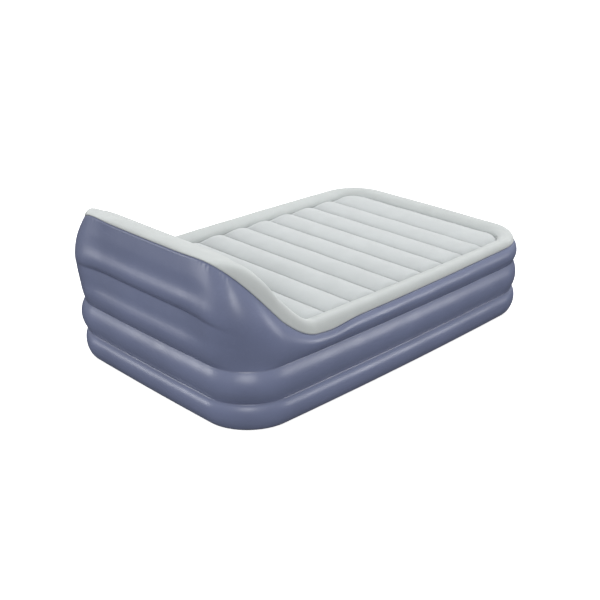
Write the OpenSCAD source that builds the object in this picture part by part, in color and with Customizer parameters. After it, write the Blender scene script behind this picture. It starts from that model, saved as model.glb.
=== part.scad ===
// Queen-size air mattress with an inflatable headboard and a built-in electric pump.
// Millimetres. The origin is the centre of the footprint on the floor: +Y is the head
// end, +Z is up and -X is the sleeper's right. Soft sheets are drawn as thin solids.

/* [Bed] */
// Overall width across the widest tier
bed_w = 1480; // [900:10:2000]
// Overall length across the longest tier
bed_l = 2284; // [1800:2:2400]
// Plan radius of the four corners
corner_r = 271; // [120:1:350]
// How far the long sides draw in at their ends, as a share of the half width
bow_x = 0.0317; // [0:0.0001:0.08]
// How far the two ends draw in at their corners, as a share of the half length
bow_y = 0.0091; // [0:0.0001:0.04]
// Thickness of every welded sheet
sheet_t = 3; // [1:0.5:6]
// Thickness of the webs inside
web_t = 2.5; // [1:0.5:5]

/* [Side wall] */
// Height of the lower crease
crease_1 = 143; // [80:1:250]
// Height of the upper crease
crease_2 = 313; // [200:1:400]
// Depth of both creases in from the widest outline
crease_in = 26; // [0:0.5:60]
// Inset of the base sheet's edge
base_in = 42; // [20:1:80]
// Height of the seam along the sides, next to the headboard
seam_h = 406; // [350:1:500]
// Rise of the seam from there to the foot
foot_rise = 18; // [0:1:40]
// Inset of that seam
seam_in = 27.6; // [5:0.1:60]
// Swell of the top tier where it is very low
swell_low = 11.3; // [2:0.1:20]
// Further swell, as a share of its height
swell = 0.0933; // [0.02:0.0001:0.2]
// How far the middle tier and the upper crease stand out at the headboard's corners
corner_out = 9; // [0:0.5:30]

/* [Headboard] */
// Height of the seam along the back of the headboard
back_seam_h = 806; // [600:1:950]
// Inset of that seam in the middle
back_seam_in = 30; // [5:0.5:60]
// Inset of that seam at the headboard's corners
corner_seam_in = 50.5; // [5:0.5:80]
// Height of the crease across the back and the front of the headboard
crease_3 = 540; // [450:1:700]
// Inset of that crease
crease_3_in = 19; // [0:0.5:60]
// Bulge of the two tiers above and below it
back_bulge = 19; // [5:0.5:40]
// Width of the rim over the headboard
rim_w = 135; // [100:1:220]
// Height of the rim's crest
rim_h = 826; // [600:1:1000]
// Height of the rim's inner edge
rim_inner_h = 784; // [500:1:950]
// Arc distance from the headboard's centre at which the seam starts to fall
fall_from = 347; // [300:1:600]
// Arc distance from the headboard's centre at which the seam has fallen
fall_to = 1106; // [700:1:1400]
// Power of that fall: higher keeps the seam up for longer
fall_power = 1.63; // [1:0.01:3]
// Dip of the seam where the headboard's wings end
wing_dip = 16; // [0:1:30]
// Dip of the rim's crest at the headboard's corners
rim_dip = 24; // [0:1:40]

/* [Border and top] */
// Width of the border tube
border_w = 100; // [80:1:200]
// Distance of the perimeter beam in from the border's outer seam, away from the headboard
beam_w = 129; // [110:1:200]
// Height of the border tube's crest
border_h = 459; // [380:1:540]
// Height of the groove inside the border
groove_h = 409; // [350:1:490]
// Height of the sleeping surface's channels over their grooves
channel_rise = 31; // [10:1:60]
// Distance between two grooves
groove_pitch = 183; // [100:1:260]
// Position of the groove nearest the foot
groove_first = -800; // [-1000:5:-600]
// Number of grooves across the sleeping surface
groove_count = 10; // [4:1:12]

/* [Pump] */
// Position of the pump along the bed
pump_y = 400; // [-600:10:500]
// Height of the pump's centre
pump_z = 228; // [200:1:300]
// Distance of the pump's face from the bed's centre line
pump_x = 722; // [600:1:735]
// Width of the face plate
face_w = 201.4; // [160:0.1:220]
// Height of the face plate
face_h = 121.4; // [100:0.1:130]
// Depth of the housing behind the face
pump_depth = 111; // [100:1:118]
// Radius of the selector knob
knob_r = 27; // [15:1:32]
// Radius of the selector shaft
shaft_r = 5; // [3:0.5:8]
// Running clearance between a shaft and its bore
fit = 0.05; // [0.02:0.01:0.1]
// Gap between neighbouring moving pieces
gap = 0.4; // [0.3:0.05:1]

/* [Hidden] */
$fn = 48;
half_flat = bed_w / 2 - corner_r;
half_long = bed_l / 2 - corner_r;
corner_len = PI * corner_r / 2;
head_turn = half_flat + corner_len;
wing_end = 1200;
foot_turn = head_turn + 2 * half_long;
foot_flat = foot_turn + corner_len;
ring_half = foot_flat + half_flat;
front_end = 1050;
top_z = groove_h;
web_top = top_z - sheet_t;

GROOVES = [for (k = [0 : groove_count - 1]) groove_first + groove_pitch * k];

// ---- Plan outline: s runs clockwise around the bed from the middle of the head end ----

function mix(a, b, t) = a + (b - a) * t;
function ramp(x, a, b) =
  let (t = min(1, max(0, (x - a) / (b - a))))
  t * t * (3 - 2 * t);
function lobe(t) = 4 * t * (1 - t);
function degrees(arc) = arc / corner_r * 180 / PI;

// Point and outward normal on the square-sided outline, for s of 0 to half the way round
function half_ring(m) =
  m <= half_flat ? [m, bed_l / 2, 0, 1]
  : m <= head_turn
    ? let (t = degrees(m - half_flat))
      [half_flat + corner_r * sin(t), half_long + corner_r * cos(t), sin(t), cos(t)]
  : m <= foot_turn ? [bed_w / 2, half_long - (m - head_turn), 1, 0]
  : m <= foot_flat
    ? let (t = degrees(m - foot_turn))
      [half_flat + corner_r * cos(t), -half_long - corner_r * sin(t), cos(t), -sin(t)]
  : [half_flat - (m - foot_flat), -bed_l / 2, 0, -1];

function wrap(s) = s > ring_half ? s - 2 * ring_half : s;
function ring(s) =
  let (w = wrap(s), k = w < 0 ? -1 : 1, p = half_ring(abs(w)))
  [k * p[0], p[1], k * p[2], p[3]];

// The full sides bow outwards under pressure
function bow(x, y) =
  [x * (1 - bow_x * pow(y / (bed_l / 2), 2)), y * (1 - bow_y * pow(x / (bed_w / 2), 2))];

// Point at arc position s, a distance d in from the widest outline, at height z
function at(s, d, z) =
  let (r = ring(s), p = bow(r[0] - r[2] * d, r[1] - r[3] * d))
  [p[0], p[1], z];

function span(a, b, n) = [for (i = [0 : n - 1]) mix(a, b, i / n)];
HALF = concat(
  span(0, half_flat, 3), span(half_flat, head_turn, 9), span(head_turn, wing_end, 4),
  span(wing_end, foot_turn, 6), span(foot_turn, foot_flat, 7), span(foot_flat, ring_half, 3)
);
last = len(HALF) - 1;
ALL_STOPS = concat(
  [-ring_half], [for (i = [last : -1 : 1]) -HALF[i]], HALF, [ring_half],
  [for (i = [last : -1 : 0]) 2 * ring_half - HALF[i]]
);
function stops(a, b) = [for (s = ALL_STOPS) if (s > a - 0.01 && s < b + 0.01) s];
function loop(d) = [for (s = stops(0, 2 * ring_half - 1)) let (p = at(s, d, 0)) [p[0], p[1]]];
function loop_by(f) = [for (s = stops(0, 2 * ring_half - 1)) let (p = at(s, f(s), 0)) [p[0], p[1]]];

// ---- Section through the wall, the border and the headboard ----

function fallen(s) = pow(ramp(abs(wrap(s)), fall_from, fall_to), fall_power);
function seam_z(s) =
  let (m = abs(wrap(s)))
  mix(back_seam_h, seam_h, fallen(s)) + foot_rise * ramp(m, wing_end, foot_flat)
    - wing_dip * exp(-pow((m - wing_end) / 120, 2));
function seam_inset(s) =
  let (m = abs(wrap(s)))
  back_seam_in + (corner_seam_in - back_seam_in) * ramp(m, half_flat / 2, head_turn - corner_r)
    - (corner_seam_in - seam_in) * ramp(m, head_turn - 0.7 * corner_r, fall_to);
function tube_w(s) = mix(rim_w, border_w, ramp(abs(wrap(s)), 700, 1120));
function inner_edge(s) = seam_inset(s) + tube_w(s);
function beam_in(s) = seam_inset(s) + mix(rim_w, beam_w, ramp(abs(wrap(s)), 700, 1120));
function crest_z(s) =
  let (m = abs(wrap(s)))
  mix(rim_h, border_h, pow(ramp(m, 420, 1120), 2.2)) - rim_dip * ramp(m, 230, 560) * (1 - ramp(m, 600, 800));
function inner_z(s) = mix(rim_inner_h, top_z, pow(ramp(abs(wrap(s)), 360, 1110), 1.15));
function cornered(s) =
  let (m = abs(wrap(s)))
  ramp(m, half_flat, half_flat + 0.4 * corner_len) * (1 - ramp(m, half_flat + 0.6 * corner_len, head_turn));
function creased(s) = 1 - ramp(abs(wrap(s)), half_flat, half_flat + corner_len / 3);
function tier(t, d0, d1, bulge) = mix(d0, d1, t) - bulge * lobe(t);

// The headboard's corners swell most above their middle
function swollen(t, d0, d1, bulge, skew) = mix(d0, d1, t) - bulge * lobe(pow(t, skew));

// The back leans in above a roll that stands just over the crease
function leaning(t, d0, d1, bulge) = mix(d0, d1, t) - bulge * lobe(pow(t, 0.65));
function back_tiers(s, z) =
  z <= crease_3
    ? tier((z - crease_2) / (crease_3 - crease_2), crease_in, crease_3_in, back_bulge)
  : leaning((z - crease_3) / (back_seam_h - crease_3), crease_3_in, seam_inset(s), back_bulge);
function wall_in(s, z) =
  z <= crease_1 ? tier(z / crease_1, base_in, crease_in, (base_in + crease_in) / 2)
  : z <= crease_2
    ? tier(
        (z - crease_1) / (crease_2 - crease_1), crease_in, crease_in - corner_out * cornered(s),
        crease_in + corner_out / 2 * cornered(s)
      )
  : let (tall = seam_z(s) - crease_2)
    mix(
      swollen(
        (z - crease_2) / tall, crease_in - corner_out * cornered(s), seam_inset(s),
        swell_low + (swell + 0.01 * cornered(s)) * tall, 1 + 0.4 * cornered(s)
      ),
      back_tiers(s, min(z, back_seam_h)),
      creased(s)
    );

tier_rows = 4;
upper_split = (crease_3 - crease_2) / (back_seam_h - crease_2);
function upper_share(j, rows) =
  let (half = rows / 2)
  j <= half ? upper_split * j / half : mix(upper_split, 1, (j - half) / half);
function wall_z(s, j, rows) =
  j <= tier_rows ? crease_1 * j / tier_rows
  : j <= 2 * tier_rows ? mix(crease_1, crease_2, (j - tier_rows) / tier_rows)
  : mix(crease_2, seam_z(s), upper_share(j - 2 * tier_rows, rows));

// A thin sheet between two surfaces that are given as functions of arc position and row
module sheet(list, rows, face, back) {
  n = len(list);
  wide = rows + 1;
  points = concat(
    [for (s = list, j = [0 : rows]) face(s, j)],
    [for (s = list, j = [0 : rows]) back(s, j)]
  );
  f = function (i, j) i * wide + j;
  b = function (i, j) (n + i) * wide + j;
  cells = [
    for (i = [0 : n - 2], j = [0 : rows - 1])
      each [
        [f(i, j), f(i + 1, j), f(i + 1, j + 1), f(i, j + 1)],
        [b(i, j), b(i, j + 1), b(i + 1, j + 1), b(i + 1, j)]
      ]
  ];
  edges = [
    for (i = [0 : n - 2])
      each [
        [f(i, 0), b(i, 0), b(i + 1, 0), f(i + 1, 0)],
        [f(i, rows), f(i + 1, rows), b(i + 1, rows), b(i, rows)]
      ]
  ];
  ends = [
    for (j = [0 : rows - 1])
      each [
        [f(0, j), f(0, j + 1), b(0, j + 1), b(0, j)],
        [f(n - 1, j), b(n - 1, j), b(n - 1, j + 1), f(n - 1, j + 1)]
      ]
  ];
  quads = concat(cells, edges, ends);
  polyhedron(points, [for (q = quads) each [[q[0], q[1], q[2]], [q[0], q[2], q[3]]]]);
}

module wall(a, b, upper_rows) {
  sheet(
    stops(a, b), 2 * tier_rows + upper_rows,
    function (s, j) let (z = wall_z(s, j, upper_rows)) at(s, wall_in(s, z), z),
    function (s, j) let (z = wall_z(s, j, upper_rows)) at(s, wall_in(s, z) + sheet_t, z)
  );
}

// A section through the border tube: one quarter ellipse up to the crest, one down inside it
rim_rows = 8;
outer_rows = 3;
crest_at = 0.31;
function tube(s, j, shell) =
  let (
    outer = seam_inset(s) + shell, inner = inner_edge(s) - shell,
    crest = seam_inset(s) + crest_at * tube_w(s), top = crest_z(s) - shell
  )
  j <= outer_rows
    ? let (q = 90 * j / outer_rows) [mix(crest, outer, cos(q)), mix(seam_z(s), top, sin(q))]
    : let (q = 90 * (j - outer_rows) / (rim_rows - outer_rows))
      [mix(crest, inner, sin(q)), mix(inner_z(s), top, cos(q))];
module rim(a, b) {
  sheet(
    stops(a, b), rim_rows,
    function (s, j) let (p = tube(s, j, 0)) at(s, p[0], p[1]),
    function (s, j) let (p = tube(s, j, sheet_t)) at(s, p[0], p[1])
  );
}

// The headboard's front stands upright up to the height of the channels, then bulges
front_rows = 9;
front_bulge = 16;
function front_top(s) = inner_z(s) - gap - 2 * ramp(abs(s), half_flat, half_flat + corner_len / 9);
function front_foot(s) = min(top_z + channel_rise + 5, mix(top_z, front_top(s), 0.5));
function front_mid(s) = mix(mix(front_foot(s), front_top(s), 0.5), crease_3, creased(s));
function front_z(s, j) =
  j == front_rows ? top_z
  : j <= 4 ? mix(front_top(s), front_mid(s), j / 4)
  : mix(front_mid(s), front_foot(s), (j - 4) / 4);
function front_out(s, j) =
  j == front_rows ? 0
  : front_bulge * ramp(front_top(s) - top_z, 80, 300)
    * mix(lobe(j / 8), lobe(j <= 4 ? j / 4 : (j - 4) / 4), creased(s));
module front(a, b) {
  sheet(
    stops(a, b), front_rows,
    function (s, j) at(s, inner_edge(s) + front_out(s, j), front_z(s, j)),
    function (s, j) at(s, inner_edge(s) + front_out(s, j) - sheet_t, front_z(s, j))
  );
}

// ---- Soft pieces ----

module base_sheet() {
  color("#3f4358") linear_extrude(sheet_t) polygon(loop(base_in + sheet_t));
}
module head_wall() {
  color("#676d8a") wall(-half_flat, half_flat, 8);
}
module right_corner_wall() {
  color("#676d8a") wall(-wing_end, -half_flat, 8);
}
module left_corner_wall() {
  color("#676d8a") wall(half_flat, wing_end, 8);
}
module right_side_wall() {
  color("#676d8a") wall(-foot_turn, -wing_end, 4);
}
module left_side_wall() {
  color("#676d8a")
    difference() {
      wall(wing_end, foot_turn, 4);
      at_pump() translate([0, 0, -60]) slab(flange_w + 2 * gap, flange_h + 2 * gap, 120, flange_r + gap);
    }
}
module foot_wall() {
  color("#676d8a") wall(foot_turn, 2 * ring_half - foot_turn, 4);
}
module headboard_rim() {
  color("#cdd2d2") rim(-half_flat, half_flat);
}
module right_wing_rim() {
  color("#cdd2d2") rim(-wing_end, -half_flat);
}
module left_wing_rim() {
  color("#cdd2d2") rim(half_flat, wing_end);
}
module right_border() {
  color("#cdd2d2") rim(-foot_turn, -wing_end);
}
module left_border() {
  color("#cdd2d2") rim(wing_end, foot_turn);
}
module foot_border() {
  color("#cdd2d2") rim(foot_turn, 2 * ring_half - foot_turn);
}
module headboard_front() {
  color("#d6dada") front(-half_flat, half_flat);
}
module right_wing_front() {
  color("#d6dada") front(-front_end, -half_flat);
}
module left_wing_front() {
  color("#d6dada") front(half_flat, front_end);
}

channel_rows = 8;
function channel(a, b, first) =
  [for (i = [first : channel_rows]) let (t = i / channel_rows) [mix(a, b, t), top_z + channel_rise * pow(lobe(t), 0.7)]];
module top_sheet() {
  foot_y = -bed_l / 2 + seam_in + border_w;
  head_y = bed_l / 2 - back_seam_in - rim_w;
  marks = concat([foot_y], GROOVES, [head_y]);
  upper = [for (k = [0 : len(marks) - 2]) each channel(marks[k], marks[k + 1], k == 0 ? 0 : 1)];
  count = len(upper);
  lower = [for (i = [count - 1 : -1 : 0]) [upper[i][0], upper[i][1] - sheet_t]];
  color("#dde0e0")
    intersection() {
      rotate([90, 0, 90]) linear_extrude(bed_w, center = true) polygon(concat(upper, lower));
      linear_extrude(2 * seam_h) polygon(loop_by(function (s) inner_edge(s) + 0.2));
    }
}

// ---- Webs inside the air chamber ----

module perimeter_beam() {
  color("#8d93a6")
    translate([0, 0, sheet_t])
      linear_extrude(web_top - sheet_t)
        difference() {
          polygon(loop_by(function (s) beam_in(s) - web_t));
          polygon(loop_by(function (s) beam_in(s)));
        }
}
module tie_band(z) {
  color("#8d93a6")
    translate([0, 0, z - web_t / 2])
      linear_extrude(web_t)
        difference() {
          polygon(loop(crease_in + sheet_t));
          polygon(loop_by(function (s) beam_in(s) - web_t));
        }
}
module lower_tie_band() {
  tie_band(crease_1);
}
module upper_tie_band() {
  tie_band(crease_2);
}
module headboard_tie_band() {
  list = stops(-half_flat, half_flat);
  rear = [for (s = list) let (p = at(s, crease_3_in + sheet_t, 0)) [p[0], p[1]]];
  fore = [for (i = [len(list) - 1 : -1 : 0]) let (p = at(list[i], beam_in(list[i]) - sheet_t - 0.3, 0)) [p[0], p[1]]];
  color("#8d93a6")
    translate([0, 0, crease_3 - web_t / 2]) linear_extrude(web_t) polygon(concat(rear, fore));
}
module cross_beam(k) {
  y = GROOVES[k];
  reach = bow(bed_w / 2 - beam_in(head_turn + half_long - y), y)[0] - 3;
  color("#8d93a6")
    translate([-reach, y - web_t / 2, sheet_t]) cube([2 * reach, web_t, web_top - sheet_t]);
}

// ---- Pump: x along the bed, y up and z out of the face, from the centre of the face ----

flange_w = 222;
flange_h = 142;
flange_r = 20;
flange_out = 5;
ledge_z = -8;
face_t = 3;
housing_front = -24;
housing_wall = 3;
knob_x = 48;
bay_x = -48;
bay_y = 12;
bay_w = 70;
bay_h = 60;
bay_depth = 57;
door_y = bay_y - bay_h / 2 - 5;
door_z = 2.4;
rocker_y = -41;
rotor_z = -24.6;
plate_z = -28;
scroll_z = -60;
scroll_r = 46;
flap_x = -55;
flap_y = 16;
flap_z = -pump_depth - 1.8;

module at_pump() {
  translate([pump_x, pump_y, pump_z]) rotate([90, 0, 90]) children();
}
module slab(w, h, t, r) {
  linear_extrude(t) {
    square([w - 2 * r, h], center = true);
    square([w, h - 2 * r], center = true);
    for (sx = [-1, 1], sy = [-1, 1]) translate([sx * (w / 2 - r), sy * (h / 2 - r)]) circle(r);
  }
}
module drum(x, y, z, r, h) {
  translate([x, y, z]) cylinder(h = h, r = r);
}
module bar(x, y, z, r, length) {
  translate([x - length / 2, y, z]) rotate([0, 90, 0]) cylinder(h = length, r = r);
}
module screw_places() {
  for (sx = [-1, 1], sy = [-1, 1]) translate([sx * 94.6, sy * 54.6, 0]) children();
}

module pump_flange() {
  color("#3a3d45")
    at_pump()
      difference() {
        translate([0, 0, housing_front]) slab(flange_w, flange_h, flange_out - housing_front, flange_r);
        translate([0, 0, -face_t]) slab(face_w + 0.6, face_h + 0.6, 20, 12);
        translate([0, 0, housing_front - 1]) slab(188, 108, 40, 10);
        screw_places() drum(0, 0, ledge_z - 4, 1.4, 12);
      }
}
module pump_housing() {
  color("#2f3138")
    at_pump()
      difference() {
        translate([0, 0, -pump_depth]) slab(204, 124, pump_depth + housing_front, 14);
        translate([0, 0, housing_wall - pump_depth])
          slab(204 - 2 * housing_wall, 124 - 2 * housing_wall, pump_depth, 11);
        drum(flap_x, 0, -pump_depth - 1, 12, 10);
      }
}
module face_plate() {
  color("#4a4e58")
    at_pump()
      difference() {
        union() {
          translate([0, 0, -face_t]) slab(face_w, face_h, face_t, 11.7);
          for (sx = [-1, 1]) translate([bay_x + sx * 33 - 2, door_y - 2.2, 0]) cube([4, 4.4, door_z]);
          for (sx = [-1, 1]) bar(bay_x + sx * 33, door_y, door_z, 2.2, 4);
        }
        bar(bay_x, door_y, door_z, 1, 80);
        drum(knob_x, 0, -10, shaft_r + fit, 20);
        translate([bay_x, bay_y, -10]) slab(bay_w, bay_h, 20, 3);
        translate([bay_x, rocker_y, -10]) slab(24.4, 18.4, 20, 2);
        screw_places() drum(0, 0, -10, 1.6, 20);
        for (k = [0 : 8], sy = [-1, 1])
          translate([knob_x - 32 + 8 * k, sy * 43, -10]) slab(3, 15, 20, 1.4);
      }
}
module face_screws() {
  color("#b9bcc2")
    at_pump()
      screw_places()
        difference() {
          union() {
            drum(0, 0, 0, 3, 1.8);
            drum(0, 0, -10, 1.35, 10);
          }
          translate([-2, -0.4, 1]) cube([4, 0.8, 2]);
          translate([-0.4, -2, 1]) cube([0.8, 4, 2]);
        }
}
module cord_bay_tub() {
  color("#2f3138")
    at_pump()
      difference() {
        translate([bay_x, bay_y, -face_t - bay_depth]) slab(bay_w + 5, bay_h + 5, bay_depth, 5);
        translate([bay_x, bay_y, -bay_depth]) slab(bay_w, bay_h, bay_depth, 3);
        drum(bay_x - 22, bay_y + 16, -face_t - bay_depth - 1, 5, 10);
      }
}
module cord_gland() {
  floor_z = -bay_depth - face_t;
  color("#1f2024")
    at_pump()
      difference() {
        union() {
          drum(bay_x - 22, bay_y + 16, -bay_depth, 7, 3);
          drum(bay_x - 22, bay_y + 16, floor_z, 5, face_t);
          drum(bay_x - 22, bay_y + 16, floor_z - 3, 7, 3);
        }
        drum(bay_x - 22, bay_y + 16, floor_z - 5, 1.9, 20);
      }
}
module cord_bay_door() {
  height = bay_h + 9;
  color("#565a66")
    at_pump()
      difference() {
        union() {
          translate([bay_x, door_y + height / 2, gap]) slab(bay_w + 6, height, 2.4, 3);
          bar(bay_x, door_y, door_z, 2, 61);
          translate([bay_x, door_y + height - 5, gap]) slab(22, 6, 4.6, 2.5);
          translate([bay_x - 6, bay_y + bay_h / 2 - 3.6, -6]) cube([12, 1.6, 6 + gap + 1]);
        }
        bar(bay_x, door_y, door_z, 1 + fit, 90);
        for (sx = [-1, 1])
          translate([bay_x + sx * 34.5 - 4.1, door_y - 5, -5]) cube([8.2, 8.2, 20]);
      }
}
module door_pin() {
  color("#b9bcc2") at_pump() bar(bay_x, door_y, door_z, 1, 70);
}
module rocker_bezel() {
  color("#1f2024")
    at_pump()
      translate([bay_x, rocker_y, 0])
        difference() {
          union() {
            translate([0, 0, -8]) slab(24, 18, 8, 1.8);
            slab(28, 21, 1.5, 3);
          }
          translate([0, 0, -9]) slab(18.6, 13.2, 20, 0.8);
          bar(0, 0, -2.5, 1, 22);
        }
}
module power_rocker() {
  color("#8e2b2b")
    at_pump()
      translate([bay_x, rocker_y, 0])
        difference() {
          translate([0, 0, -5.5]) slab(17.4, 11, 8.2, 1);
          bar(0, 0, -2.5, 1 + fit, 30);
          for (sy = [-1, 1]) translate([0, sy * 7.4, 4.6]) rotate([sy * 10, 0, 0]) cube([30, 12, 4], center = true);
        }
}
module rocker_pin() {
  color("#b9bcc2") at_pump() bar(bay_x, rocker_y, -2.5, 1, 22);
}
module selector_knob() {
  color("#c8ccd2")
    at_pump()
      difference() {
        union() {
          drum(knob_x, 0, gap, knob_r, 4.2);
          translate([knob_x, 0, gap]) slab(2 * knob_r - 6, 11, 11.4, 5);
          for (k = [0 : 23])
            translate([knob_x, 0, gap]) rotate([0, 0, 15 * k]) translate([knob_r, 0, 0]) cylinder(h = 3.4, r = 0.9, $fn = 16);
        }
        drum(knob_x, 0, -1, shaft_r, 7.6);
      }
}
module selector_shaft() {
  color("#7d828c")
    at_pump() drum(knob_x, 0, rotor_z, shaft_r, 6.6 - rotor_z);
}
module valve_rotor() {
  color("#9aa0ab")
    at_pump()
      difference() {
        union() {
          drum(knob_x, 0, rotor_z, 24, 3);
          drum(knob_x, 0, rotor_z, 9, 8);
        }
        drum(knob_x, 0, rotor_z - 1, shaft_r, 20);
        for (a = [0, 120]) translate([knob_x, 0, rotor_z - 1]) rotate([0, 0, a]) translate([15, 0, 0]) cylinder(h = 5, r = 5.5);
      }
}
module valve_plate() {
  color("#6b707b")
    at_pump()
      difference() {
        drum(knob_x, 0, plate_z, scroll_r, 3);
        for (a = [0, 60]) translate([knob_x, 0, plate_z - 1]) rotate([0, 0, a]) translate([15, 0, 0]) cylinder(h = 5, r = 5.5);
      }
}
module fan_scroll() {
  color("#6b707b")
    at_pump()
      difference() {
        union() {
          drum(knob_x, 0, scroll_z, scroll_r, plate_z - scroll_z);
          translate([knob_x - 56, -scroll_r, scroll_z]) cube([56, 18, 26]);
        }
        drum(knob_x, 0, scroll_z + 2, scroll_r - 2, 60);
        translate([knob_x - 60, -scroll_r + 2, scroll_z + 2]) cube([58, 14, 22]);
        drum(knob_x, 0, scroll_z - 1, 3.3, 10);
      }
}
module impeller() {
  color("#d4d7db")
    at_pump()
      translate([knob_x, 0, scroll_z + 4])
        difference() {
          union() {
            cylinder(h = 2, r = 38);
            cylinder(h = 20, r = 9);
            for (k = [0 : 7]) rotate([0, 0, 45 * k]) translate([7, -1, 0]) cube([30, 2, 20]);
          }
          translate([0, 0, -1]) cylinder(h = 30, r = 3);
        }
}
module motor_shaft() {
  color("#c4c7cc") at_pump() drum(knob_x, 0, -100, 3, 100 + scroll_z + 22);
}
module motor() {
  color("#a9adb4")
    at_pump()
      difference() {
        union() {
          drum(knob_x, 0, -104, 26, 38);
          drum(knob_x, 0, -66, 8, 4);
        }
        drum(knob_x, 0, -101, 3 + fit, 60);
        for (k = [0 : 5]) rotate_about(knob_x, 60 * k) drum(knob_x + 18, 0, -67, 3, 3);
      }
}
module rotate_about(x, a) {
  translate([x, 0, 0]) rotate([0, 0, a]) translate([-x, 0, 0]) children();
}
module motor_bracket() {
  color("#8f939b")
    at_pump()
      difference() {
        translate([knob_x, 0, -63.8]) slab(24, 90, 3.4, 4);
        drum(knob_x, 0, -70, 8.05, 20);
      }
}
module flap_seat() {
  color("#6b707b")
    at_pump()
      difference() {
        union() {
          drum(flap_x, 0, -pump_depth - 1.4, 15.5, 1.4);
          drum(flap_x, 0, -pump_depth, 11.9, housing_wall);
          for (sx = [-1, 1])
            translate([flap_x + sx * 9 - 1.5, 13, -pump_depth - 5]) cube([3, 5.4, 5]);
        }
        drum(flap_x, 0, -pump_depth - 5, 10, 20);
        bar(flap_x, flap_y, flap_z - 1, 0.8, 30);
      }
}
module check_flap() {
  color("#24262b")
    at_pump()
      difference() {
        union() {
          drum(flap_x, 0, flap_z - 1.8, 12.8, 1.8);
          translate([flap_x - 7, 0, flap_z - 1.8]) cube([14, flap_y, 1.8]);
          bar(flap_x, flap_y, flap_z - 1, 1.4, 14);
        }
        bar(flap_x, flap_y, flap_z - 1, 0.8 + fit, 30);
      }
}
module flap_pin() {
  color("#b9bcc2") at_pump() bar(flap_x, flap_y, flap_z - 1, 0.8, 21);
}

base_sheet();
head_wall();
right_corner_wall();
left_corner_wall();
right_side_wall();
left_side_wall();
foot_wall();
headboard_rim();
right_wing_rim();
left_wing_rim();
right_border();
left_border();
foot_border();
headboard_front();
right_wing_front();
left_wing_front();
top_sheet();
perimeter_beam();
lower_tie_band();
upper_tie_band();
headboard_tie_band();
for (k = [1 : groove_count]) cross_beam(k - 1);
pump_flange();
pump_housing();
face_plate();
face_screws();
cord_bay_tub();
cord_gland();
cord_bay_door();
door_pin();
rocker_bezel();
power_rocker();
rocker_pin();
selector_knob();
selector_shaft();
valve_rotor();
valve_plate();
fan_scroll();
impeller();
motor_shaft();
motor();
motor_bracket();
flap_seat();
check_flap();
flap_pin();
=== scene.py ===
"""Looks of a queen-size air mattress with an inflatable headboard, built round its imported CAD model.

Metres, in the CAD model's own frame: +Y is the head end, +Z is up and -X is the sleeper's right.
Every welded sheet is a thin closed shell over a grid of arc positions round the bed and rows up its section.
"""
import math

import bpy
import numpy as np
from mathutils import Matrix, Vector


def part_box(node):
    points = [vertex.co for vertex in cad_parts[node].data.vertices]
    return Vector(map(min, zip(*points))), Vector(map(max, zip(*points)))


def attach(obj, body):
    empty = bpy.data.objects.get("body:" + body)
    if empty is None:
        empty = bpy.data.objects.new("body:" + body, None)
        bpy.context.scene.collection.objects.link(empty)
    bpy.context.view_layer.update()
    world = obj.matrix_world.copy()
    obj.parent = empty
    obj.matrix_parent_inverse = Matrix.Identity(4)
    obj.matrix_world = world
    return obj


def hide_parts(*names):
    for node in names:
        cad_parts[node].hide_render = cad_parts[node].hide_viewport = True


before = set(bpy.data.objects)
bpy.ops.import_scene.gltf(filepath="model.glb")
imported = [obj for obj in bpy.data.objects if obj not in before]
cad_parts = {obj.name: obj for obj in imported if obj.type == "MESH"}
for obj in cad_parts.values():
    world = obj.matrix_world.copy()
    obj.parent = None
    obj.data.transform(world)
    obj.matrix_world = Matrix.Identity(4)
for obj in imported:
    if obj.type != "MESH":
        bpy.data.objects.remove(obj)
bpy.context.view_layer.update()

# ---- Sizes of the bed, as in the CAD model ----

BED_W, BED_L, CORNER_R = 1.48, 2.284, 0.271
BOW_X, BOW_Y = 0.0317, 0.0091
CREASE_1, CREASE_2, CREASE_3 = 0.143, 0.313, 0.540
CREASE_IN, CREASE_3_IN, BASE_IN = 0.026, 0.019, 0.042
SEAM_H, FOOT_RISE, SEAM_IN = 0.406, 0.018, 0.0276
BACK_SEAM_H, BACK_SEAM_IN, CORNER_SEAM_IN = 0.806, 0.030, 0.0505
FALL_FROM, FALL_TO, FALL_POWER = 0.347, 1.106, 1.63
WING_DIP, RIM_DIP = 0.016, 0.017
RIM_W, RIM_H, RIM_INNER_H = 0.135, 0.826, 0.784
BORDER_W, BORDER_H, BEAM_W = 0.100, 0.459, 0.129
GROOVE_Z, GROOVE_PITCH, CHANNEL_RISE = 0.409, 0.183, 0.031
GROOVES = [-0.800 + GROOVE_PITCH * k for k in range(10)]
SWELL_LOW, SWELL, CORNER_OUT = 0.0113, 0.0933, 0.009
# Where the border's crest lies, as a share of the tube's width from its outer seam
CREST_AT = 0.31
PUMP = Vector((0.722, 0.400, 0.228))

# Thickness of the skins and of the webs as they are shown, and the gap between the floor and the skins
SKIN, WEB = 0.0009, 0.0006
OFF_FLOOR = 0.0003

HALF_FLAT = BED_W / 2 - CORNER_R
HALF_LONG = BED_L / 2 - CORNER_R
CORNER = math.pi * CORNER_R / 2
HEAD_TURN = HALF_FLAT + CORNER
WING_END = 1.200
FOOT_TURN = HEAD_TURN + 2 * HALF_LONG
FOOT_FLAT = FOOT_TURN + CORNER
RING_HALF = FOOT_FLAT + HALF_FLAT
FRONT_END = 1.050


def mix(a, b, t):
    return a + (b - a) * t


def ramp(x, a, b):
    t = np.clip((x - a) / (b - a), 0, 1)
    return t * t * (3 - 2 * t)


def lobe(t, power=1.0):
    return np.clip(4 * t * (1 - t), 0, 1) ** power


def spaced(count, ease=0.6):
    """Numbers from 0 to 1, closer together towards both ends."""
    t = np.linspace(0, 1, count + 1)
    return mix(t, 0.5 - 0.5 * np.cos(math.pi * t), ease)


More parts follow.
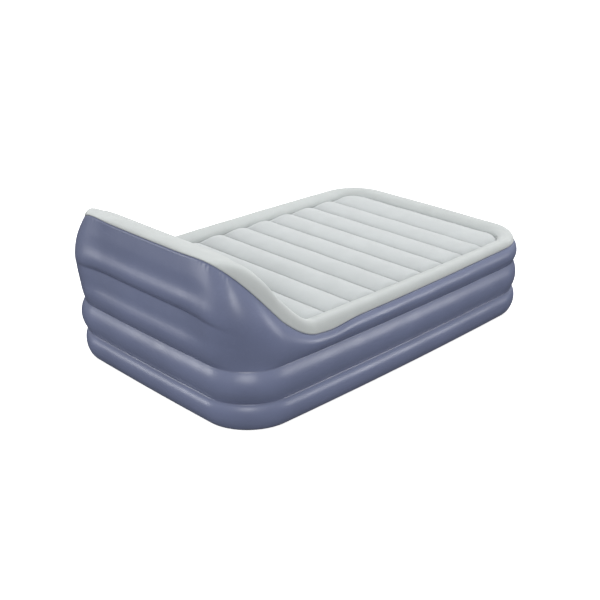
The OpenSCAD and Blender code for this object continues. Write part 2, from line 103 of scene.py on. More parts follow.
def curve(t, knots, values):
    """A smooth curve through a few knots (cubic Hermite, with the mean of the neighbouring slopes)."""
    knots, values = np.array(knots), np.array(values)
    slopes = np.gradient(values, knots)
    k = np.clip(np.searchsorted(knots, t, side="right") - 1, 0, len(knots) - 2)
    step = knots[k + 1] - knots[k]
    u = (t - knots[k]) / step
    a, b = values[k], values[k + 1]
    bend = u * (1 - u) * ((slopes[k] * step - (b - a)) * (1 - u) - (slopes[k + 1] * step - (b - a)) * u)
    return a + (b - a) * u + bend


def wander(s, seed, *lengths):
    """A smooth uneven wave along s, between about -1 and 1."""
    total = 0
    for k, length in enumerate(lengths):
        bend = 1.7 * np.sin(s / length * 1.37 + seed * 2.1 + k)
        total = total + np.sin(2 * math.pi * s / length + bend + seed * 5.3 + 2.4 * k)
    return total / len(lengths)


# ---- Plan outline: s runs clockwise round the bed from the middle of the head end ----

def at(s, d, z):
    """Points at arc position s, a distance d in from the widest outline, at height z."""
    side, m = np.where(s < 0, -1.0, 1.0), np.abs(s)
    head = np.clip((m - HALF_FLAT) / CORNER_R, 0, math.pi / 2)
    foot = np.clip((m - FOOT_TURN) / CORNER_R, 0, math.pi / 2)
    nx = np.sin(head) + np.cos(foot) - 1
    ny = np.cos(head) - np.sin(foot)
    x = np.minimum(m, HALF_FLAT) + CORNER_R * nx
    x = np.where(m > FOOT_TURN, HALF_FLAT + CORNER_R * np.cos(foot) - np.clip(m - FOOT_FLAT, 0, None), x)
    y = HALF_LONG + CORNER_R * ny - np.clip(m - HEAD_TURN, 0, 2 * HALF_LONG)
    x, y = side * (x - nx * d), y - ny * d
    bowed_x = x * (1 - BOW_X * (y / (BED_L / 2)) ** 2)
    bowed_y = y * (1 - BOW_Y * (x / (BED_W / 2)) ** 2)
    return np.stack(np.broadcast_arrays(bowed_x, bowed_y, z), -1)


def half_columns():
    """Arc positions round one half of the bed, closest together beside the headboard's puckers."""
    def run(a, b, step):
        return np.linspace(a, b, max(2, round((b - a) / step)), endpoint=False)

    return np.concatenate([
        run(0, 1.15, 0.0047), run(1.15, 1.24, 0.009), run(1.24, 1.50, 0.0075),
        run(1.50, FOOT_TURN - 0.05, 0.028), run(FOOT_TURN - 0.05, FOOT_FLAT + 0.02, 0.011),
        run(FOOT_FLAT + 0.02, RING_HALF, 0.024),
    ])


HALF = half_columns()
ROUND = np.concatenate([[-RING_HALF], -HALF[:0:-1], HALF])
EVEN = np.linspace(-RING_HALF, RING_HALF, 300, endpoint=False)


def fallen(s):
    """How far the seam has come down from the headboard: 0 on its back, 1 along the sides."""
    return ramp(np.abs(s), FALL_FROM, FALL_TO) ** FALL_POWER


def seam_z(s):
    """Height of the seam between the side wall and the border."""
    m = np.abs(s)
    dip = WING_DIP * np.exp(-((m - WING_END) / 0.120) ** 2)
    return mix(BACK_SEAM_H, SEAM_H, fallen(s)) + FOOT_RISE * ramp(m, WING_END, FOOT_FLAT) - dip


def seam_inset(s):
    """Distance of that seam in from the widest outline."""
    m = np.abs(s)
    grown = (CORNER_SEAM_IN - BACK_SEAM_IN) * ramp(m, HALF_FLAT / 2, HEAD_TURN - CORNER_R)
    return BACK_SEAM_IN + grown - (CORNER_SEAM_IN - SEAM_IN) * ramp(m, HEAD_TURN - 0.7 * CORNER_R, FALL_TO)


def tube_w(s):
    return mix(RIM_W, BORDER_W, ramp(np.abs(s), 0.700, 1.120))


def inner_edge(s):
    return seam_inset(s) + tube_w(s)


def beam_in(s):
    """Inset of the perimeter beam, which keeps clear of the pump."""
    return seam_inset(s) + mix(RIM_W, BEAM_W, ramp(np.abs(s), 0.700, 1.120))


def crest_z(s):
    m = np.abs(s)
    dip = RIM_DIP * ramp(m, 0.200, 0.560) * (1 - ramp(m, 0.560, 0.920))
    return mix(RIM_H, BORDER_H, ramp(m, 0.420, 1.120) ** 2.2) - dip


def inner_z(s):
    return mix(RIM_INNER_H, GROOVE_Z, ramp(np.abs(s), 0.360, 1.110) ** 1.15)


def cornered(s):
    """1 in the middle of the headboard's corners and 0 away from them."""
    m = np.abs(s)
    return ramp(m, HALF_FLAT, HALF_FLAT + 0.4 * CORNER) * (1 - ramp(m, HALF_FLAT + 0.6 * CORNER, HEAD_TURN))


def creased(s):
    """1 where the headboard's own crease is full and 0 where it has run out."""
    return 1 - ramp(np.abs(s), 0.300, 0.700)


# ---- Mesh code ----

def thin_shell(name, face, thickness=SKIN, closed=False, keep=None, marks=None):
    """A closed thin shell under a grid of points. marks are point attributes given on the grid."""
    n, m = face.shape[:2]
    ahead = np.roll(face, -1, 0) if closed else face[np.minimum(np.arange(n) + 1, n - 1)]
    behind = np.roll(face, 1, 0) if closed else face[np.maximum(np.arange(n) - 1, 0)]
    up = face[:, np.minimum(np.arange(m) + 1, m - 1)] - face[:, np.maximum(np.arange(m) - 1, 0)]
    normal = np.cross(ahead - behind, up)
    normal /= np.maximum(np.linalg.norm(normal, axis=-1, keepdims=True), 1e-12)
    i, j = np.meshgrid(np.arange(n if closed else n - 1), np.arange(m - 1), indexing="ij")
    k = (i + 1) % n
    quads = np.stack([i * m + j, k * m + j, k * m + j + 1, i * m + j + 1], -1).reshape(-1, 4)
    if keep is not None:
        quads = quads[keep.reshape(-1)[quads].any(1)]
    count = n * m
    arrows = np.concatenate([quads[:, [a, (a + 1) % 4]] for a in range(4)])
    codes = arrows[:, 0] * count + arrows[:, 1]
    rim = arrows[~np.isin(codes, arrows[:, 1] * count + arrows[:, 0])]
    sides = np.stack([rim[:, 1], rim[:, 0], rim[:, 0] + count, rim[:, 1] + count], -1)
    faces = np.concatenate([quads, quads[:, ::-1] + count, sides])
    points = np.concatenate([face.reshape(-1, 3), (face - normal * thickness).reshape(-1, 3)])
    a, b, c, d = (points[faces[:, q]] for q in range(4))
    if (np.cross(c - a, d - b) * (a + b + c + d)).sum() < 0:
        faces = faces[:, ::-1]
    used = np.unique(faces)
    place = np.zeros(2 * count, int)
    place[used] = np.arange(len(used))
    mesh = bpy.data.meshes.new(name)
    mesh.vertices.add(len(used))
    mesh.vertices.foreach_set("co", points[used].astype(np.float32).reshape(-1))
    mesh.loops.add(4 * len(faces))
    mesh.loops.foreach_set("vertex_index", place[faces].astype(np.int32).reshape(-1))
    mesh.polygons.add(len(faces))
    mesh.polygons.foreach_set("loop_start", np.arange(0, 4 * len(faces), 4, dtype=np.int32))
    mesh.polygons.foreach_set("use_smooth", np.ones(len(faces), bool))
    mesh.update()
    mesh.validate()
    for mark, values in (marks or {}).items():
        values = np.broadcast_to(values, (n, m)).reshape(-1)
        layer = mesh.attributes.new(mark, "FLOAT", "POINT")
        layer.data.foreach_set("value", np.concatenate([values, values])[used].astype(np.float32))
    piece = bpy.data.objects.new(name, mesh)
    bpy.context.scene.collection.objects.link(piece)
    return piece


def finish_piece(piece, look, slot, *nodes):
    piece.data.materials.append(look)
    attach(piece, "mattress")
    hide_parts(*nodes)


# ---- Procedural materials ----

class Look:
    """One node-based material."""

    def __init__(self, name):
        self.mat = bpy.data.materials.new(name)
        self.mat.use_nodes = True
        self.tree = self.mat.node_tree
        self.bsdf = self.tree.nodes["Principled BSDF"]
        self.place = self.tree.nodes.new("ShaderNodeTexCoord").outputs["Object"]

    def join(self, value, socket):
        if isinstance(value, bpy.types.NodeSocket):
            self.tree.links.new(value, socket)
        else:
            socket.default_value = value

    def noise(self, scale, detail=2.0, rough=0.5, stretch=None):
        place = self.place
        if stretch:
            mapping = self.tree.nodes.new("ShaderNodeMapping")
            mapping.inputs["Scale"].default_value = stretch
            self.tree.links.new(place, mapping.inputs["Vector"])
            place = mapping.outputs["Vector"]
        node = self.tree.nodes.new("ShaderNodeTexNoise")
        self.tree.links.new(place, node.inputs["Vector"])
        node.inputs["Scale"].default_value = scale
        node.inputs["Detail"].default_value = detail
        node.inputs["Roughness"].default_value = rough
        return node.outputs["Fac"]

    def cells(self, scale, feature="F1"):
        node = self.tree.nodes.new("ShaderNodeTexVoronoi")
        node.feature = feature
        self.tree.links.new(self.place, node.inputs["Vector"])
        node.inputs["Scale"].default_value = scale
        return node.outputs["Distance"]

    def mark(self, name):
        node = self.tree.nodes.new("ShaderNodeAttribute")
        node.attribute_name = name
        return node.outputs["Fac"]

    def spread(self, value, low, high, a=0.0, b=1.0):
        node = self.tree.nodes.new("ShaderNodeMapRange")
        wanted = {"Value": value, "From Min": a, "From Max": b, "To Min": low, "To Max": high}
        for name, x in wanted.items():
            self.join(x, node.inputs[name])
        return node.outputs["Result"]

    def math(self, kind, a, b):
        node = self.tree.nodes.new("ShaderNodeMath")
        node.operation = kind
        self.join(a, node.inputs[0])
        self.join(b, node.inputs[1])
        return node.outputs[0]

    def blend(self, amount, a, b):
        node = self.tree.nodes.new("ShaderNodeMix")
        node.data_type = "RGBA"
        self.join(amount, node.inputs["Factor"])
        for value, key in ((a, "A"), (b, "B")):
            socket = [x for x in node.inputs if x.name == key and x.type == "RGBA"][0]
            self.join((*value, 1.0) if isinstance(value, tuple) else value, socket)
        return [x for x in node.outputs if x.type == "RGBA"][0]

    def bump(self, height, strength, distance, under=None):
        node = self.tree.nodes.new("ShaderNodeBump")
        node.inputs["Strength"].default_value = strength
        node.inputs["Distance"].default_value = distance
        self.join(height, node.inputs["Height"])
        if under is not None:
            self.tree.links.new(under, node.inputs["Normal"])
        return node.outputs["Normal"]

    def done(self, colour, roughness, normal=None, **fixed):
        self.join(colour, self.bsdf.inputs["Base Color"])
        self.join(roughness, self.bsdf.inputs["Roughness"])
        if normal is not None:
            self.join(normal, self.bsdf.inputs["Normal"])
        for name, value in fixed.items():
            self.bsdf.inputs[name.replace("_", " ")].default_value = value
        return self.mat


def tint(colour, share):
    return tuple(min(1.0, c * share) for c in colour)


def vinyl(name, colour, rough=(0.29, 0.39), grain=0.10, dirt=0.10):
    """Flexible PVC: a faint calender grain, slow shifts of tone, welds pressed smoother, and painted shade
    darkening the welds, creases and seams.
    """
    look = Look(name)
    weld_shade = look.mark("weld_shade")
    shifts = look.spread(look.noise(2.6, 3.0), 0, 1, 0.30, 0.70)
    tone = look.blend(shifts, tint(colour, 0.93), tint(colour, 1.06))
    tone = look.blend(look.spread(look.noise(95.0, 4.0, 0.6), 0, 0.25, 0.35, 0.75), tone, tint(colour, 1.14))
    # Painted shade: the weld_shade mark darkens the colour at welds, creases and seams, standing in for the
    # shade that gathers there.
    tone = look.blend(look.spread(weld_shade, 0, 0.45), tone, tint(colour, 0.48))
    scuff = look.spread(look.noise(14.0, 6.0, 0.7, (1.0, 1.0, 3.0)), 0, dirt, 0.56, 0.74)
    tone = look.blend(scuff, tone, tint(colour, 1.7))
    gloss = look.spread(look.noise(7.0, 5.0, 0.6), rough[0], rough[1], 0.3, 0.7)
    gloss = look.math("ADD", gloss, look.spread(look.noise(420.0, 2.0), -0.03, 0.03))
    gloss = look.math("ADD", gloss, look.spread(weld_shade, 0, -0.06))
    pores = look.bump(look.cells(1150.0), grain, 0.0004)
    fine = look.bump(look.noise(1900.0, 3.0, 0.6), grain * 0.8, 0.0003, pores)
    slack = look.bump(look.noise(11.0, 2.0, 0.4, (1.0, 1.0, 0.35)), 0.10, 0.006, fine)
    return look.done(tone, gloss, slack, Specular_IOR_Level=0.5, Coat_Weight=0.06, Coat_Roughness=0.28)


def flock(name, colour, shade=0.80):
    """Flocked PVC: short dense fibres, brushed patches, flattened welds, and painted shade darkening its
    welds and grooves by the share given as shade.
    """
    look = Look(name)
    weld_shade = look.mark("weld_shade")
    brushed = look.noise(9.0, 4.0, 0.55)
    fibres = look.noise(1250.0, 4.0, 0.75)
    specks = look.noise(330.0, 3.0, 0.7)
    tone = look.blend(look.spread(brushed, 0, 1, 0.32, 0.68), tint(colour, 0.965), tint(colour, 1.025))
    tone = look.blend(look.spread(fibres, 0.0, 0.34, 0.35, 0.7), tone, tint(colour, 0.82))
    tone = look.blend(look.spread(specks, 0.0, 0.22, 0.5, 0.75), tone, tint(colour, 1.12))
    # Painted shade: the weld_shade mark darkens welds and grooves towards shade times 0.82 of the colour.
    tone = look.blend(look.spread(weld_shade, 0, 0.55), tone, tint(colour, shade * 0.82))
    rough = look.math("ADD", look.spread(fibres, 0.86, 1.0), look.spread(weld_shade, 0, -0.14))
    nap = look.bump(fibres, 0.42, 0.0007)
    pile = look.bump(specks, 0.22, 0.0012, nap)
    soft = look.bump(brushed, 0.06, 0.006, pile)
    return look.done(tone, rough, soft, Specular_IOR_Level=0.22, Sheen_Weight=0.28, Sheen_Roughness=0.55)


def plastic(name, colour, rough=(0.38, 0.52), grain=0.16, scale=1400.0):
    """Moulded plastic with a spark-eroded grain, faint flow marks and paler rubbed patches."""
    look = Look(name)
    tone = look.blend(look.noise(22.0, 4.0, 0.6), tint(colour, 0.90), tint(colour, 1.10))
    tone = look.blend(look.spread(look.noise(160.0, 6.0, 0.7), 0, 0.35, 0.58, 0.80), tone, tint(colour, 1.6))
    gloss = look.spread(look.noise(60.0, 5.0, 0.65), rough[0], rough[1], 0.3, 0.7)
    skin = look.bump(look.cells(scale), grain, 0.00025)
    flow = look.bump(look.noise(40.0, 2.0, 0.5, (1.0, 3.0, 1.0)), 0.05, 0.001, skin)
    return look.done(tone, gloss, flow, Specular_IOR_Level=0.5)


def metal(name, colour, rough=(0.24, 0.40), stretch=(1.0, 60.0, 60.0)):
    """Turned or rolled metal with fine marks along its working direction and dull spots."""
    look = Look(name)
    lines = look.noise(180.0, 4.0, 0.6, stretch)
    spots = look.noise(240.0, 5.0, 0.65)
    tone = look.blend(lines, tint(colour, 0.86), tint(colour, 1.08))
    tone = look.blend(look.spread(spots, 0, 0.5, 0.60, 0.78), tone, tint(colour, 0.55))
    gloss = look.math("ADD", look.spread(lines, rough[0], rough[1]), look.spread(spots, -0.04, 0.08))
    return look.done(tone, gloss, look.bump(lines, 0.12, 0.0002), Metallic=1.0)


def rubber(name, colour):
    """Matt moulded rubber with a dusty bloom."""
    look = Look(name)
    bloom = look.noise(70.0, 6.0, 0.7)
    tone = look.blend(look.spread(bloom, 0, 0.6, 0.45, 0.75), colour, tint(colour, 2.4))
    return look.done(tone, look.spread(bloom, 0.66, 0.86), look.bump(look.noise(1600.0, 3.0), 0.2, 0.0003))


SLATE = (0.176, 0.202, 0.322)
GREY = (0.560, 0.590, 0.585)
wall_look = vinyl("slate_vinyl", SLATE)
base_look = vinyl("base_vinyl_look", (0.050, 0.055, 0.085), (0.50, 0.62), 0.3)
web_look = vinyl("web_vinyl_look", (0.30, 0.33, 0.41), (0.42, 0.55), 0.14)
border_look = flock("border_flock_look", GREY)
head_look = flock("headboard_flock_look", GREY)
# The top sheet's grooves get deeper painted shade (0.70) than the border's and headboard's.
top_look = flock("top_flock_look", (0.560, 0.590, 0.595), 0.70)

# ---- The slate side wall: three tiers, and a fourth one up the headboard ----

FLANGE_LOW, FLANGE_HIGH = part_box("pump_flange")
FLANGE_HALF = ((FLANGE_HIGH.y - FLANGE_LOW.y) / 2, (FLANGE_HIGH.z - FLANGE_LOW.z) / 2)
FLANGE_R = 0.020

# Insets of the two tiers across the headboard's back, against their own height from 0 to 1
THIRD_TIER = (
    [0, 0.08, 0.22, 0.34, 0.43, 0.54, 0.75, 1],
    [CREASE_IN, 0.008, -0.003, -0.005, -0.002, 0.007, 0.012, CREASE_3_IN],
)
FOURTH_TIER = (
    [0, 0.05, 0.15, 0.27, 0.37, 0.70, 1],
    [CREASE_3_IN, 0.006, -0.002, 0.001, 0.009, 0.0185, BACK_SEAM_IN],
)


def flange_distance(y, z):
    """Signed distance from the pump flange's rounded outline and the way out of it, seen along X."""
    u, v = y - PUMP.y, z - PUMP.z
    a, b = np.abs(u) - FLANGE_HALF[0] + FLANGE_R, np.abs(v) - FLANGE_HALF[1] + FLANGE_R
    reach = np.hypot(np.maximum(a, 0), np.maximum(b, 0))
    inside = np.minimum(np.maximum(a, b), 0)
    by_corner = reach > 1e-9
    gu = np.where(by_corner, np.maximum(a, 0) / np.maximum(reach, 1e-9), (a >= b) * 1.0)
    gv = np.where(by_corner, np.maximum(b, 0) / np.maximum(reach, 1e-9), (a < b) * 1.0)
    return reach + inside - FLANGE_R, gu * np.sign(u), gv * np.sign(v)


def puckers(s, down):
    """Small gathers under the headboard's seam: strongest where it curls round and down."""
    m = np.abs(s)
    amount = 0.0007 + 0.0019 * ramp(m, 0.34, 0.50) * (1 - ramp(m, 0.80, 1.02))
    amount = amount * (1 - ramp(m, 1.0, 1.15))
    wave = wander(s, 1.0, 0.028, 0.039, 0.021)
    return amount * wave * np.exp(-(down / 0.016) ** 2)


def wall_face(s):
    """Insets, heights and painted-shade weld marks of the side wall, from the floor up to its seam."""
    s = s[:, None]
    corner, crease, top = cornered(s), creased(s), seam_z(s)
    upper_in = CREASE_IN - CORNER_OUT * corner
    low, mid = spaced(15)[:-1], spaced(14)[:-1]
    split = (CREASE_3 - CREASE_2) / (BACK_SEAM_H - CREASE_2)
    under_seam = 1 - np.array([0.026, 0.019, 0.013, 0.008, 0.004, 0.0])
    up = np.concatenate([split * spaced(14)[:-1], mix(split, 0.966, spaced(20, 0.3)), under_seam])
    z_low, z_mid = CREASE_1 * low + 0 * s, mix(CREASE_1, CREASE_2, mid) + 0 * s
    d_low = mix(BASE_IN, CREASE_IN, low) - mix(0.0350, 0.0300, corner) * lobe(low, 0.66)
    d_mid = mix(CREASE_IN, upper_in, mid) - (CREASE_IN + 0.006 * corner) * lobe(mid, 0.95)
    z_up = mix(CREASE_2, top, up)
    swell = SWELL_LOW + (SWELL + 0.01 * corner) * (top - CREASE_2)
    side = mix(upper_in, seam_inset(s), up) - swell * lobe(up ** (1 + 0.4 * corner), 0.95)
    t3, t4 = np.clip(up / split, 0, 1), np.clip((up - split) / (1 - split), 0, 1)
    third = curve(t3, *THIRD_TIER) + 0 * s
    fourth = curve(t4, *FOURTH_TIER) + (seam_inset(s) - BACK_SEAM_IN) * t4
    back = np.where(up <= split, third, fourth)
    d_up = mix(side, back, crease)
    z = np.concatenate([z_low, z_mid, z_up], 1)
    d = np.concatenate([d_low, d_mid, d_up], 1)
    down = top - z
    d = d - puckers(s, down) * ramp(down, 0, 0.006)
    d = d - 0.0007 * wander(s + 0.35 * z, 3.0, 0.41, 0.27) * ramp(down, 0, 0.05) * ramp(z, 0.01, 0.05)
    d = d + 0.0042 * np.exp(-(down / 0.0035) ** 2)
    # Painted shade mask: under the seam and along the three creases, where the slate is darkened.
    weld_shades = np.exp(-(down / 0.0042) ** 2)
    for level in (CREASE_1, CREASE_2):
        weld_shades = np.maximum(weld_shades, np.exp(-((z - level) / 0.004) ** 2))
    weld_shades = np.maximum(weld_shades, crease * np.exp(-((z - CREASE_3) / 0.004) ** 2))
    return s, d, z, weld_shades


def make_wall():
    s, d, z, weld_shades = wall_face(ROUND)
    face = at(s, d, np.maximum(z, SKIN + 0.0002))
    beside = (s > HEAD_TURN) & (s < FOOT_TURN)
    gap, out_y, out_z = flange_distance(face[..., 1], face[..., 2])
    pull = (1 - ramp(gap, -0.002, 0.060)) * beside
    face[..., 0] = mix(face[..., 0], PUMP.x + 0.0005, pull)
    hidden = beside & (gap < 0)
    move = np.where(hidden, gap - 0.0002, 0)
    face[..., 1] -= out_y * move
    face[..., 2] -= out_z * move
    outside = np.maximum(flange_distance(face[..., 1], face[..., 2])[0], 0)
    # Painted shade round the pump flange, where the wall meets it.
    weld_shades = np.maximum(weld_shades, beside * np.exp(-(outside / 0.004) ** 2))
    wall = thin_shell("side_wall_skin", face, closed=True, keep=~hidden, marks={"weld_shade": weld_shades})
    finish_piece(
        wall, wall_look, "side_wall_vinyl", "head_wall", "right_corner_wall", "left_corner_wall",
        "right_side_wall", "left_side_wall", "foot_wall",
    )
    return wall


# ---- The grey border tube, which climbs over the headboard as its rim ----

def make_border():
    s = ROUND[:, None]
    up = np.concatenate([[0, 0.03, 0.065, 0.105], np.linspace(0.15, math.pi / 2, 12)[:-1]])
    over = np.linspace(0, math.pi / 2, 25)
    outer, inner = seam_inset(s), inner_edge(s)
    crest = outer + CREST_AT * tube_w(s)
    z = np.concatenate([mix(seam_z(s), crest_z(s), np.sin(up)), mix(inner_z(s), crest_z(s), np.cos(over))], 1)
    d = np.concatenate([mix(crest, outer, np.cos(up)), mix(crest, inner, np.sin(over))], 1)
    u = (d - outer) / tube_w(s)
    steps = np.hypot(np.diff(z, axis=1), np.diff(d, axis=1))
    edge = np.concatenate([0 * s, np.cumsum(steps, 1)], 1)
    far = edge[:, -1:] - edge
    m = np.abs(s)
    gather = 0.0005 + 0.0011 * ramp(m, 0.36, 0.50) * (1 - ramp(m, 0.86, 1.05))
    z = z + gather * wander(s, 2.0, 0.031, 0.044, 0.021) * np.exp(-(edge / 0.022) ** 2) * ramp(edge, 0, 0.006)
    z = z + 0.0009 * wander(s + 0.5 * u, 4.0, 0.36, 0.22) * lobe(u)
    d = d + 0.0036 * np.exp(-(edge / 0.0035) ** 2)
    z = z + 0.0008 * np.exp(-(edge / 0.003) ** 2)
    # Painted shade mask along the outer seam and the inner groove edge.
    weld_shade = np.maximum(np.exp(-(edge / 0.004) ** 2), np.exp(-(far / 0.005) ** 2))
    border = thin_shell("border_skin", at(s, d, z), closed=True, marks={"weld_shade": weld_shade})
    finish_piece(
        border, border_look, "border_flock", "headboard_rim", "right_wing_rim", "left_wing_rim",
        "right_border", "left_border", "foot_border",
    )
    return border


# ---- The headboard's flocked front ----

def make_front():
    s = np.concatenate([-HALF[:0:-1], HALF])
    s = s[np.abs(s) < FRONT_END][:, None]
    top = inner_z(s) - 0.0012
    foot = np.minimum(GROOVE_Z + CHANNEL_RISE + 0.005, mix(GROOVE_Z, top, 0.5))
    middle = mix(mix(foot, top, 0.5), CREASE_3, creased(s))
    t = spaced(16)
    last = mix(foot, GROOVE_Z + 0.001, [0.35, 0.7, 1.0])
    z = np.concatenate([mix(top, middle, t[:-1]), mix(middle, foot, t), last], 1)
    bulge = 0.0155 * ramp(top - GROOVE_Z, 0.080, 0.300)
    whole = lobe((top - z) / np.maximum(top - foot, 1e-6))
    halves = np.concatenate([lobe(t[:-1], 0.8) + 0 * s, lobe(t, 0.8) + 0 * s, np.zeros((len(s), 3))], 1)
    out = bulge * np.where(z >= foot, mix(whole, halves, creased(s)), 0)
    out = out + 0.0008 * wander(s + z, 6.0, 0.09, 0.14) * ramp(z, GROOVE_Z, GROOVE_Z + 0.03)
    # Painted shade mask at the top edge, along the headboard crease and at the groove.
    weld_shade = np.maximum(np.exp(-((top - z) / 0.005) ** 2), creased(s) * np.exp(-((z - CREASE_3) / 0.005) ** 2))
    weld_shade = np.maximum(weld_shade, np.exp(-((z - GROOVE_Z) / 0.006) ** 2))
    front = thin_shell("headboard_front_skin", at(s, inner_edge(s) + out, z), marks={"weld_shade": weld_shade})
    finish_piece(
        front, head_look, "headboard_flock", "headboard_front", "right_wing_front", "left_wing_front",
    )
    return front


# ---- The quilted sleeping surface ----

def make_top():
    s = np.linspace(0, RING_HALF, 4000)
    edge = at(s, inner_edge(s) - 0.0005, 0 * s)
    foot_y, head_y = edge[-1, 1], edge[0, 1]
    order = np.argsort(edge[:, 1])
    lines = [foot_y] + GROOVES + [head_y]
    y, share = [], []
    for a, b in zip(lines, lines[1:]):
        t = spaced(22, 0.75)[:-1]
        y.extend(mix(a, b, t))
        share.extend(t)
    y, share = np.array(y + [head_y]), np.array(share + [1.0])
    half = np.interp(y, edge[order, 1], edge[order, 0])
    u = spaced(112, 0.78) * 2 - 1
    x = half[:, None] * u
    from_edge = half[:, None] - np.abs(x)
    close = 1 - (1 - np.clip(from_edge / 0.060, 0, 1)) ** 2.4
    across = lobe(share, 0.80)[:, None]
    uneven = 1 + 0.05 * wander(x + 0.4 * y[:, None], 7.0, 0.37, 0.23)
    z = GROOVE_Z + CHANNEL_RISE * across * close * uneven
    to_line = np.minimum(share, 1 - share)[:, None] * GROOVE_PITCH
    gathers = 0.0009 * wander(x, 8.0, 0.043, 0.061) * np.exp(-(to_line / 0.018) ** 2)
    z = z + gathers * ramp(to_line, 0, 0.006) * ramp(from_edge, 0, 0.02)
    # Painted shade mask along the grooves between the channels and round the sheet's edge.
    weld_shade = np.maximum(np.exp(-(to_line / 0.0045) ** 2), np.exp(-(from_edge / 0.005) ** 2))
    face = np.stack(np.broadcast_arrays(x, y[:, None], z), -1)
    top = thin_shell("top_sheet_skin", face, marks={"weld_shade": weld_shade})
    finish_piece(top, top_look, "top_flock", "top_sheet")
    return top


# ---- The base sheet on the floor ----

def make_base():
    share = np.linspace(1, 0.004, 26)
    ring = at(EVEN, BASE_IN + 0.0012, 0 * EVEN)[:, None, :]
    face = ring * np.array([1, 1, 0]) * share[:, None]
    lift = 0.0011 * (1 + wander(face[..., 1], 9.0, GROOVE_PITCH)) * ramp(1 - share, 0.02, 0.12)
    face[..., 2] = SKIN + OFF_FLOOR + lift
    # Painted shade mask along the rim of the base sheet, under the side wall.
    weld_shade = np.exp(-((1 - share) / 0.012) ** 2) + 0 * EVEN[:, None]
    base = thin_shell("base_sheet_skin", face[:, ::-1], closed=True, marks={"weld_shade": weld_shade[:, ::-1]})
    finish_piece(base, base_look, "base_vinyl", "base_sheet")
    return base


# ---- The webs inside the air chamber ----

def web(name, face, closed, node):
    piece = thin_shell(name, face, thickness=WEB, closed=closed, marks={"weld_shade": np.zeros(face.shape[:2])})
    finish_piece(piece, web_look, "web_vinyl", node)
    return piece


def make_webs():
    s, rows = EVEN[:, None], np.linspace(0, 1, 11)
    z = mix(0.0035, GROOVE_Z - 0.0035, rows)
    drawn = 0.0035 * lobe(rows) * (1 + 0.5 * wander(s, 11.0, 0.30, 0.17))
    upright = at(s, beam_in(s) - 0.0013 - drawn, z)
    web("perimeter_beam_web", upright, True, "perimeter_beam")
    rows = np.linspace(0, 1, 7)
    for level, name, seed in ((CREASE_1, "lower_tie_band", 12.0), (CREASE_2, "upper_tie_band", 13.0)):
        d = mix(CREASE_IN + 0.003, beam_in(s) - 0.0060, rows)
        wavy = level + 0.0025 * lobe(rows) * wander(s, seed, 0.21, 0.13)
        web(name + "_web", at(s, d, wavy), True, name)
    s = np.linspace(-HALF_FLAT, HALF_FLAT, 60)[:, None]
    d = mix(CREASE_3_IN + 0.003, beam_in(s) - 0.0040, rows)
    wavy = CREASE_3 + 0.0025 * lobe(rows) * wander(s, 14.0, 0.19, 0.11)
    web("headboard_tie_web", at(s, d, wavy), False, "headboard_tie_band")
    for k in range(len(GROOVES)):
        node = f"cross_beam_{k + 1}"
        low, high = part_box(node)
        x = np.linspace(low.x + 0.004, high.x - 0.004, 70)[:, None]
        rows = np.linspace(0, 1, 13)
        z = mix(low.z + 0.0005, high.z - 0.0005, rows)
        y = (low.y + high.y) / 2 + 0.0050 * lobe(rows) * wander(x, 20.0 + k, 0.33, 0.19)
        face = np.stack(np.broadcast_arrays(x, y, z), -1)
        web(f"{node}_web", face, False, node)


# ---- The pump keeps its CAD shapes and gets real surfaces ----

def dress_pump():
    body = plastic("pump_body_look", (0.030, 0.032, 0.038), (0.40, 0.55))
    plate = plastic("pump_face_look", (0.068, 0.075, 0.092), (0.36, 0.50), 0.22, 1100.0)
    door = plastic("pump_door_look", (0.090, 0.099, 0.120), (0.34, 0.48), 0.20, 1200.0)
    bezel = plastic("bezel_look", (0.012, 0.012, 0.014), (0.28, 0.40))
    rocker = plastic("rocker_look", (0.270, 0.022, 0.020), (0.24, 0.34), 0.08)
    knob = plastic("knob_look", (0.560, 0.590, 0.620), (0.30, 0.42), 0.12)
    works = plastic("works_look", (0.150, 0.160, 0.180), (0.42, 0.56))
    fan = plastic("fan_look", (0.640, 0.650, 0.660), (0.34, 0.46), 0.10)
    steel = metal("bright_steel_look", (0.62, 0.63, 0.65))
    can = metal("motor_can_look", (0.50, 0.51, 0.53), (0.32, 0.48), (60.0, 1.0, 1.0))
    strap = metal("motor_strap_look", (0.46, 0.47, 0.48), (0.36, 0.52), (1.0, 40.0, 1.0))
    black = rubber("black_rubber_look", (0.012, 0.012, 0.013))
    wear = {
        "pump_flange": body, "pump_housing": body, "cord_bay_tub": body, "face_plate": plate,
        "cord_bay_door": door, "rocker_bezel": bezel, "power_rocker": rocker, "selector_knob": knob,
        "selector_shaft": works, "valve_rotor": works, "valve_plate": works, "fan_scroll": works,
        "flap_seat": works, "impeller": fan, "cord_gland": black, "check_flap": black,
        "face_screws": steel, "door_pin": steel, "rocker_pin": steel, "flap_pin": steel,
        "motor_shaft": steel, "motor": can, "motor_bracket": strap,
    }
    for node, look in wear.items():
        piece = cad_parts[node]
        piece.data.materials.clear()
        piece.data.materials.append(look)


# ---- Studio ----

def make_floor():
    half_size, below, n = 45.0, 0.0012, 9
    mesh = bpy.data.meshes.new("floor")
    steps = np.linspace(-half_size, half_size, n)
    points = [(x, y, -below) for x in steps for y in steps]
    corners = [n * i + j for i in range(n - 1) for j in range(n - 1)]
    cells = [(k, k + n, k + n + 1, k + 1) for k in corners]
    mesh.from_pydata(points, [], cells)
    floor = bpy.data.objects.new("floor", mesh)
    bpy.context.scene.collection.objects.link(floor)
    look = Look("floor_look")
    tone = look.blend(look.noise(3.0, 2.0), (0.93, 0.93, 0.93), (0.95, 0.95, 0.95))
    finish = look.done(
        tone, look.spread(look.noise(40.0), 0.80, 0.90), Specular_IOR_Level=0.15,
        Emission_Color=(1.0, 1.0, 1.0, 1.0), Emission_Strength=0.75,
    )
    mesh.materials.append(finish)
    floor.visible_diffuse = False
    floor.visible_glossy = False


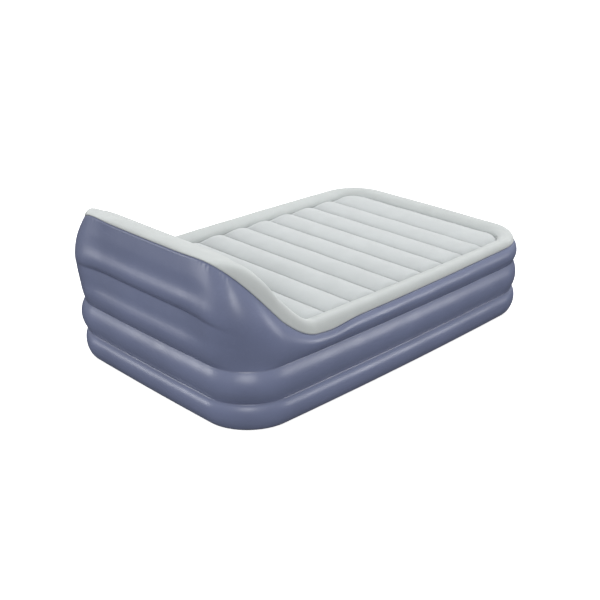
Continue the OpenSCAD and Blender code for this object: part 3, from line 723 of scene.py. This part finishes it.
def soft_light(name, toward, spread, power):
    """A wide even light from the direction given, as from a studio's panels. spread is in degrees."""
    light = bpy.data.lights.new(name, "SUN")
    light.angle = math.radians(spread)
    light.energy = power
    lamp = bpy.data.objects.new(name, light)
    lamp.location = Vector(toward) * 6
    lamp.rotation_euler = Vector(toward).to_track_quat("Z", "Y").to_euler()
    bpy.context.scene.collection.objects.link(lamp)


def make_world():
    """A white room, dim at the floor and bright overhead."""
    world = bpy.data.worlds.new("studio")
    world.use_nodes = True
    tree = world.node_tree
    place = tree.nodes.new("ShaderNodeTexCoord")
    split = tree.nodes.new("ShaderNodeSeparateXYZ")
    sky = tree.nodes.new("ShaderNodeMapRange")
    sky.interpolation_type = "SMOOTHSTEP"
    for name, value in (("From Min", -0.25), ("From Max", 0.30), ("To Min", 0.05), ("To Max", 0.58)):
        sky.inputs[name].default_value = value
    tree.links.new(place.outputs["Generated"], split.inputs[0])
    tree.links.new(split.outputs["Z"], sky.inputs["Value"])
    tree.links.new(sky.outputs["Result"], tree.nodes["Background"].inputs["Strength"])
    tree.nodes["Background"].inputs["Color"].default_value = (1.0, 1.0, 1.0, 1.0)
    bpy.context.scene.world = world


def make_camera():
    scene = bpy.context.scene
    scene.view_settings.view_transform = "Standard"
    scene.view_settings.look = "None"
    data = bpy.data.cameras.new("camera")
    data.lens, data.sensor_width = 59.50, 36.0
    camera = bpy.data.objects.new("camera", data)
    camera.location = (-3.6107, 3.6341, 2.3747)
    camera.rotation_euler = Vector((0.6535, -0.6438, -0.3980)).to_track_quat("-Z", "Y").to_euler()
    scene.collection.objects.link(camera)
    scene.camera = camera


make_wall()
make_border()
make_front()
make_top()
make_base()
make_webs()
dress_pump()

make_floor()
make_world()
soft_light("ceiling", (0.32, -0.88, 1.0), 34, 1.85)
soft_light("front", (-0.66, 0.66, 0.34), 27, 1.10)
soft_light("left", (0.65, 0.75, 0.11), 18, 0.68)
soft_light("right", (-0.76, -0.64, 0.05), 18, 0.76)
make_camera()
